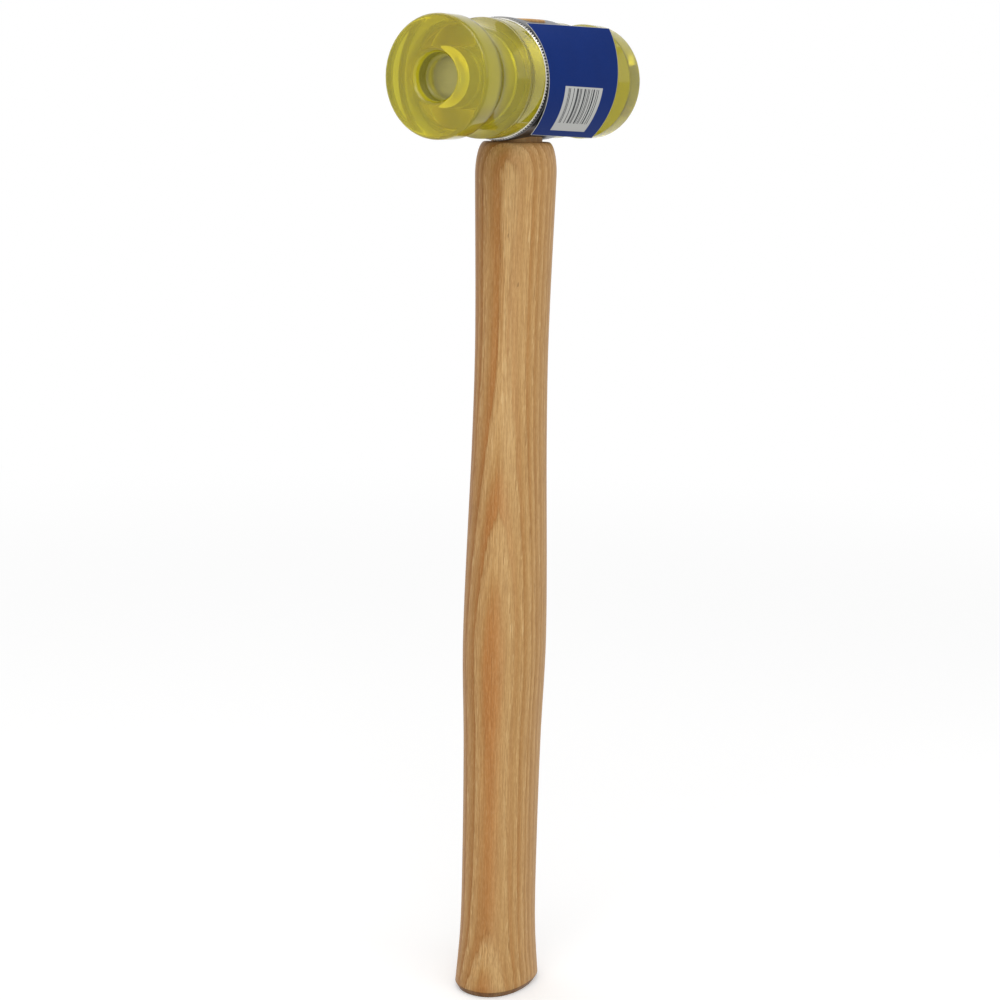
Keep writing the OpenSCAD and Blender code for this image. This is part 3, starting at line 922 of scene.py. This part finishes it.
def spigot_threads_tree():
    """A right-hand thread on each spigot: a ridge swept along a spiral."""
    tree, given = nodes_tree("spigot_threads", [],
                             ["Radius", "Ridge", "Pitch", "Start", "Length", "Head height"])
    turns = given["Length"] / given["Pitch"]
    spiral = turns.node("GeometryNodeCurveSpiral", sockets={
        "Resolution": 48, "Rotations": turns, "Height": given["Length"],
        "Start Radius": given["Radius"], "End Radius": given["Radius"]})
    upright = spiral.node("GeometryNodeSetCurveNormal", {"mode": "Z_UP"}, {0: spiral})
    profile = turns.node("GeometryNodeCurvePrimitiveCircle", sockets={
        "Resolution": 4, "Radius": given["Ridge"]})
    ridge = upright.node("GeometryNodeCurveToMesh", sockets={
        "Curve": upright, "Profile Curve": profile, "Fill Caps": True})
    end_tree([ridge.node("GeometryNodeTransform", sockets={
        "Geometry": ridge, "Rotation": (0.0, side * math.pi / 2, 0.0),
        "Translation": ridge.join(given["Start"] * side, 0.0, given["Head height"])})
        for side in (-1, 1)], given["Material"])
    return tree


def label_mesh(look):
    """A stiff card that touches the front of the barrel and springs off it, more so at its right end."""
    long_steps, tall_steps = 60, 64
    glue, ripple, ripple_turn, ripple_lag = 0.03 * MM, 0.06 * MM, 260, 3
    bare = (-1, -1)
    bm = bmesh.new()
    print_map = bm.loops.layers.uv.new("print")
    skins = []
    for depth in (0.0, look.thickness):
        grid = []
        for i in range(long_steps + 1):
            share = i / long_steps
            x = LABEL_LOW.x + (LABEL_HIGH.x - LABEL_LOW.x) * share
            bend = look.bend_left + (look.bend_right - look.bend_left) * share
            middle = look.twist_left + (look.twist_right - look.twist_left) * share
            low = -look.reach_down + look.left_lift * (1 - share)
            row = []
            for j in range(tall_steps + 1):
                height = low + (look.reach_up - low) * j / tall_steps
                turn = math.asin((height - middle) / bend)
                wave = math.sin(height * ripple_turn + share * ripple_lag) * ripple * share
                front = BARREL_R + glue + wave
                row.append(bm.verts.new((x, bend - front - (bend + depth) * math.cos(turn),
                                         HEAD_Z + middle + (bend + depth) * math.sin(turn))))
            grid.append(row)
        skins.append(grid)
    inner, outer = skins
    for i in range(long_steps):
        for j in range(tall_steps):
            spots = ((i, j), (i + 1, j), (i + 1, j + 1), (i, j + 1))
            front = bm.faces.new([outer[a][b] for a, b in spots])
            for loop, (a, b) in zip(front.loops, spots):
                loop[print_map].uv = (a / long_steps, b / tall_steps)
            back = bm.faces.new([inner[a][b] for a, b in reversed(spots)])
            for loop in back.loops:
                loop[print_map].uv = bare
    border = ([(i, 0) for i in range(long_steps)] + [(long_steps, j) for j in range(tall_steps)]
              + [(i, tall_steps) for i in range(long_steps, 0, -1)]
              + [(0, j) for j in range(tall_steps, 0, -1)])
    for (a, b), (c, d) in zip(border, border[1:] + border[:1]):
        rim = bm.faces.new((inner[a][b], inner[c][d], outer[c][d], outer[a][b]))
        for loop in rim.loops:
            loop[print_map].uv = bare
    return mesh_from(bm, "label")


class MALLET_OT_handle(bpy.types.Operator):
    """Build the wooden handle with its shoulder, tenon and wedge slots"""
    bl_idname = "mallet.handle"
    bl_label = "Handle"

    def execute(self, context):
        look = context.scene.mallet_handle
        past_sides = 1 * MM
        slots = [wedge_cutter("timber_wedge", past_sides), wedge_cutter("left_steel_wedge", 0.0),
                 wedge_cutter("right_steel_wedge", 0.0)]
        mesh = cut_away(handle_mesh(look), slots)
        piece = new_piece("wooden_handle", mesh, handle_wood(look), "mallet", smooth=40)
        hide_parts("handle")
        return {"FINISHED"}


class MALLET_OT_wedges(bpy.types.Operator):
    """Finish the timber wedge and the two steel wedges"""
    bl_idname = "mallet.wedges"
    bl_label = "Wedges"

    def execute(self, context):
        look = context.scene.mallet_barrel
        steel = wedge_steel(look)
        for node, material in (("timber_wedge", wedge_timber(look)), ("left_steel_wedge", steel),
                               ("right_steel_wedge", steel)):
            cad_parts[node].material_slots[0].material = material
        return {"FINISHED"}


class MALLET_OT_faces(bpy.types.Operator):
    """Build the two amber faces and the steel bushes moulded into them"""
    bl_idname = "mallet.faces"
    bl_label = "Faces and bushes"

    def execute(self, context):
        look = context.scene.mallet_face
        amber = amber_elastomer(look)
        steel = turned_steel("bush_steel", look.bush, rough=0.32, stain=0.6)
        for side, end in (("left", -1), ("right", 1)):
            face = new_piece(f"{side}_amber", turned_mesh("face", face_outline(look), look.sides, end),
                             amber, f"{side}_amber_face", smooth=40)
            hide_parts(f"{side}_face")
            bush = new_piece(f"{side}_bush", turned_mesh("bush", bush_outline(look), look.sides, end),
                             steel, f"{side}_bush", smooth=30)
            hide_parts(f"{side}_thread_bush")
        return {"FINISHED"}


class MALLET_OT_barrel(bpy.types.Operator):
    """Build the steel barrel with its eye, serrated rims and threaded spigots"""
    bl_idname = "mallet.barrel"
    bl_label = "Barrel"

    def execute(self, context):
        look = context.scene.mallet_barrel
        eye = bmesh.new()
        past_barrel = BARREL_R + 1 * MM
        skin_loops(eye, [
            [eye.verts.new((*slot_point(a, look.eye_length, look.eye_width), z))
             for a in full_turn(look.eye_sides)] for z in (HEAD_Z - past_barrel, HEAD_Z + past_barrel)])
        mesh = cut_away(turned_mesh("barrel", barrel_outline(look), look.sides), [mesh_from(eye, "eye")])
        dark = turned_steel("barrel_steel", look.steel, rough=0.36, stain=0.6, faced=look.faced)
        barrel = new_piece("steel_barrel", mesh, dark, "mallet", smooth=30)
        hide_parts("head_barrel")
        bright = turned_steel("bright_steel", look.bright, rough=0.24, stain=0.55)
        sunk, from_end = 0.02 * MM, 0.1 * MM
        teeth = grown_mesh(rim_teeth_tree(), {
            "Teeth": look.teeth, "Radius": BARREL_R - look.rim_drop - sunk,
            "Height": look.tooth_height, "Width": look.tooth_width, "Length": look.tooth_length,
            "Rim": BARREL_END - look.tooth_length / 2 - from_end, "Head height": HEAD_Z, "Material": bright})
        new_piece("rim_teeth", teeth, None, "mallet", smooth=20)
        proud, run_in, plain_ends = 0.08 * MM, 1.6 * MM, 3.4 * MM
        threads = grown_mesh(spigot_threads_tree(), {
            "Radius": look.core_radius + proud, "Ridge": look.ridge, "Pitch": look.pitch,
            "Start": BARREL_END + run_in, "Length": SPIGOT_END - BARREL_END - plain_ends,
            "Head height": HEAD_Z, "Material": bright})
        new_piece("spigot_threads", threads, None, "mallet", smooth=30)
        return {"FINISHED"}


class MALLET_OT_label(bpy.types.Operator):
    """Build the label round the front of the head"""
    bl_idname = "mallet.label"
    bl_label = "Label"

    def execute(self, context):
        look = context.scene.mallet_label
        label = new_piece("printed_label", label_mesh(look), label_film(look), "mallet",
                          smooth=60)
        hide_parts("head_label")
        return {"FINISHED"}


def backdrop_flag(wire):
    """1 for what the camera, a reflection or a look through the amber meets, and 0 for plain light."""
    rays = wire.node("ShaderNodeLightPath").socket.node.outputs
    camera, glossy, through = (Wire(wire.tree, rays[name])
                               for name in ("Is Camera Ray", "Is Glossy Ray", "Is Transmission Ray"))
    return camera.math("MAXIMUM", glossy).math("MAXIMUM", through)


def pale_floor(look):
    """A pale floor that keeps the shadow, fades to white further out and is clear from below."""
    material = bpy.data.materials.new("pale_floor")
    material.use_nodes = True
    tree = material.node_tree
    tree.nodes.clear()
    place = Wire(tree).node("ShaderNodeTexCoord", output="Object")
    x, y, _ = place.split()
    far = ((x * x + y * y) ** 0.5).ease(look.fade_start, look.fade_end)
    seen = backdrop_flag(place)
    soft = place.node("ShaderNodeBsdfDiffuse", sockets={"Color": look.floor})
    glow = place.node("ShaderNodeEmission", sockets={"Color": (1, 1, 1), "Strength": seen * look.floor_glow})
    near = place.node("ShaderNodeAddShader", sockets={0: soft, 1: glow})
    white = place.node("ShaderNodeEmission", sockets={"Color": (1, 1, 1), "Strength": 1.0})
    whole = place.node("ShaderNodeMixShader", sockets={0: far * seen, 1: near, 2: white})
    below = place.node("ShaderNodeNewGeometry", output="Backfacing")
    clear = place.node("ShaderNodeBsdfTransparent")
    sided = place.node("ShaderNodeMixShader", sockets={0: below, 1: whole, 2: clear})
    place.node("ShaderNodeOutputMaterial", sockets={0: sided})
    return material


def direction(turn, rise):
    """From the mallet towards this azimuth and elevation."""
    return Vector((math.sin(turn) * math.cos(rise), -math.cos(turn) * math.cos(rise), math.sin(rise)))


def add_lamp(name, aim, azimuth, elevation, distance, size, watts):
    """A soft square lamp that looks at the mallet."""
    lamp = bpy.data.lights.new(name, "AREA")
    lamp.shape, lamp.size, lamp.energy = "SQUARE", size, watts
    away = direction(math.radians(azimuth), math.radians(elevation))
    holder = bpy.data.objects.new(name, lamp)
    holder.matrix_world = (Matrix.Translation(aim + away * distance)
                           @ away.to_track_quat("Z", "Y").to_matrix().to_4x4())
    bpy.context.scene.collection.objects.link(holder)


class MALLET_OT_stage(bpy.types.Operator):
    """Set up the camera, the pale floor and the soft lamps"""
    bl_idname = "mallet.stage"
    bl_label = "Stage"

    def execute(self, context):
        scene, look = context.scene, context.scene.mallet_stage
        aim = Vector((0, 0, look.target))
        turn, roll = look.azimuth, look.roll
        back = direction(turn, look.elevation)
        right = Vector((math.cos(turn), math.sin(turn), 0))
        up = back.cross(right)
        side = right * math.cos(roll) + up * math.sin(roll)
        top = up * math.cos(roll) - right * math.sin(roll)
        lens = bpy.data.cameras.new("camera")
        lens.lens, lens.sensor_width, lens.shift_x = look.lens, look.sensor, look.shift
        lens.clip_start, lens.clip_end = 0.01, 50
        camera = bpy.data.objects.new("camera", lens)
        camera.matrix_world = Matrix.Translation(aim + back * look.distance) @ Matrix(
            (side, top, back)).transposed().to_4x4()
        scene.collection.objects.link(camera)
        scene.camera = camera
        scene.view_settings.view_transform = "Standard"
        world = bpy.data.worlds.new("studio")
        world.use_nodes = True
        scene.world = world
        sky = Wire(world.node_tree)
        seen = backdrop_flag(sky)
        ground = world.node_tree.nodes["Background"]
        sky.feed(ground.inputs["Color"], (1, 1, 1))
        sky.feed(ground.inputs["Strength"], look.ambient + seen * (1 - look.ambient))
        bm = bmesh.new()
        bmesh.ops.create_circle(bm, cap_ends=True, segments=96, radius=look.floor_radius,
                                matrix=Matrix.Translation((0, 0, -look.floor_drop)))
        mesh = mesh_from(bm, "floor")
        mesh.materials.append(pale_floor(look))
        floor = bpy.data.objects.new("floor", mesh)
        scene.collection.objects.link(floor)
        add_lamp("key_lamp", aim, azimuth=-68, elevation=48, distance=1.3, size=0.9, watts=6.0)
        add_lamp("fill_lamp", aim, azimuth=-15, elevation=28, distance=1.5, size=1.2, watts=4.1)
        add_lamp("top_lamp", aim, azimuth=150, elevation=65, distance=1.4, size=0.8, watts=3.0)
        return {"FINISHED"}


class MALLET_PT_panel(bpy.types.Panel):
    """Lists the pieces of the mallet and their sizes and colours"""
    bl_idname = "MALLET_PT_panel"
    bl_label = "Mallet"
    bl_space_type = "VIEW_3D"
    bl_region_type = "UI"
    bl_category = "Mallet"

    def draw(self, context):
        for operators, group in STEPS:
            box = self.layout.box()
            for operator in operators:
                box.operator(operator.bl_idname)
            look = getattr(context.scene, group)
            for name in look.__annotations__:
                box.prop(look, name)


LOOKS = {
    "mallet_handle": MalletHandleLook,
    "mallet_face": MalletFaceLook,
    "mallet_barrel": MalletBarrelLook,
    "mallet_label": MalletLabelLook,
    "mallet_stage": MalletStageLook,
}
STEPS = (
    ((MALLET_OT_handle,), "mallet_handle"),
    ((MALLET_OT_faces,), "mallet_face"),
    ((MALLET_OT_barrel, MALLET_OT_wedges), "mallet_barrel"),
    ((MALLET_OT_label,), "mallet_label"),
    ((MALLET_OT_stage,), "mallet_stage"),
)
CLASSES = (*LOOKS.values(), *(operator for operators, _ in STEPS for operator in operators), MALLET_PT_panel)


def register():
    for cls in CLASSES:
        bpy.utils.register_class(cls)
    for name, look in LOOKS.items():
        setattr(bpy.types.Scene, name, PointerProperty(type=look))


def unregister():
    for name in LOOKS:
        delattr(bpy.types.Scene, name)
    for cls in reversed(CLASSES):
        bpy.utils.unregister_class(cls)


def main():
    register()
    bpy.ops.mallet.handle()
    bpy.ops.mallet.wedges()
    bpy.ops.mallet.faces()
    bpy.ops.mallet.barrel()
    bpy.ops.mallet.label()
    bpy.ops.mallet.stage()


if __name__ == "__main__":
    main()
